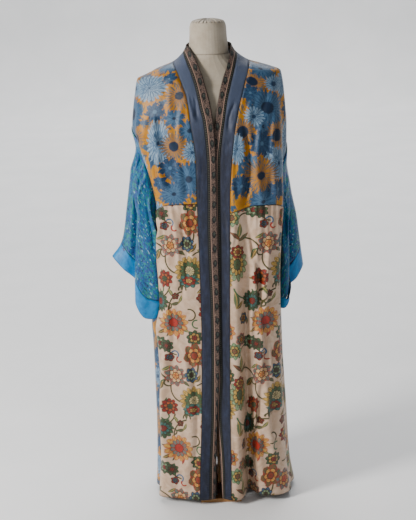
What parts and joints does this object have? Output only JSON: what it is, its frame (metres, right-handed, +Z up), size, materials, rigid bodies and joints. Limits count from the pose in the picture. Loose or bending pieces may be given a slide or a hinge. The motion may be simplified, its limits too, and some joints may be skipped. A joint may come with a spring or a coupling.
{
  "type": "patchwork silk kimono robe on a limbless dress form with stand",
  "caption": "Full-length open-front patchwork silk kimono with hanging sleeves and a contrast neck band, worn by a limbless dress form on a wooden pole and foot.",
  "frame": {"origin": "middle of the wooden foot's underside, on the floor", "axes": "+Z up, the front of the garment faces -Y, +X to the right as seen by someone facing it"},
  "size_m": [0.5728, 0.3109, 1.4489],
  "materials": {
    "daisy_silk": "printed silk, satin",
    "floral_silk": "printed silk, soft sheen",
    "slate_silk": "plain silk, satin",
    "border_trim": "printed crepe",
    "turquoise_silk": "printed silk, satin",
    "cuff_silk": "silk, satin",
    "form_jersey": "matt cotton jersey",
    "stand_wood": "oiled light wood"
  },
  "bodies": {
    "root": {"front_upper_left": "daisy_silk", "front_lower_left": "floral_silk", "neck_band_left": "slate_silk", "border_trim_left": "border_trim", "sleeve_left": "turquoise_silk", "cuff_left": "cuff_silk", "front_upper_right": "daisy_silk", "front_lower_right": "floral_silk", "neck_band_right": "slate_silk", "border_trim_right": "border_trim", "sleeve_right": "turquoise_silk", "cuff_right": "cuff_silk", "back_panel": "daisy_silk", "form_torso": "form_jersey", "form_neck": "form_jersey", "form_neck_cap": "form_jersey", "stand_pole": "stand_wood", "stand_base": "stand_wood"}
  },
  "joints": []
}
